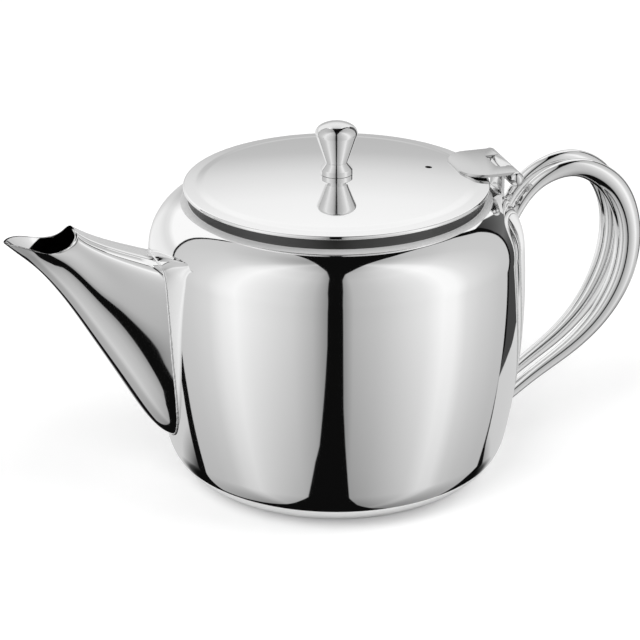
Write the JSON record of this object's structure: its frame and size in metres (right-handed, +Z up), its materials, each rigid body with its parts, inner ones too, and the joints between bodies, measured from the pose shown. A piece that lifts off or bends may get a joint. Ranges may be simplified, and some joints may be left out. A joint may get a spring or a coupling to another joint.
{
  "type": "teapot",
  "caption": "Mirror-polished stainless steel teapot with a hinged domed lid, turned knob, pressed spout with strainer holes and a twin-tube loop handle.",
  "frame": {"origin": "centre of the flat base, on the surface the teapot stands on, on the pot's axis", "axes": "+Z up along the pot's axis, +X towards the handle, -X towards the spout, hinge axis along Y"},
  "size_m": [0.2213, 0.128, 0.1248],
  "materials": {
    "polished_shell": "mirror-polished stainless steel sheet",
    "polished_spout": "mirror-polished stainless steel pressing, welded on the centre line",
    "polished_tube": "mirror-polished stainless steel tube",
    "polished_lid": "polished stainless steel sheet with fine round polishing marks",
    "hinge_steel": "softly polished stainless steel plate and pin",
    "satin_steel": "satin stainless steel",
    "turned_knob": "turned and polished stainless steel"
  },
  "bodies": {
    "pot": {"body_shell": "polished_shell", "spout_half_left": "polished_spout", "spout_half_right": "polished_spout", "handle_tube_left": "polished_tube", "handle_tube_right": "polished_tube", "hinge_bracket": "hinge_steel"},
    "lid": {"lid_cover": "polished_lid", "lid_locating_ring": "satin_steel", "hinge_leaf": "hinge_steel", "hinge_pin": "hinge_steel", "knob": "turned_knob", "knob_screw": "satin_steel", "knob_washer": "satin_steel"}
  },
  "joints": [
    {"name": "lid_hinge", "type": "hinge", "parent": "pot", "child": "lid", "pos_m": [0.0593, 0, 0.1029], "axis": [0, 1, 0], "range_deg": [0, 100]}
  ]
}
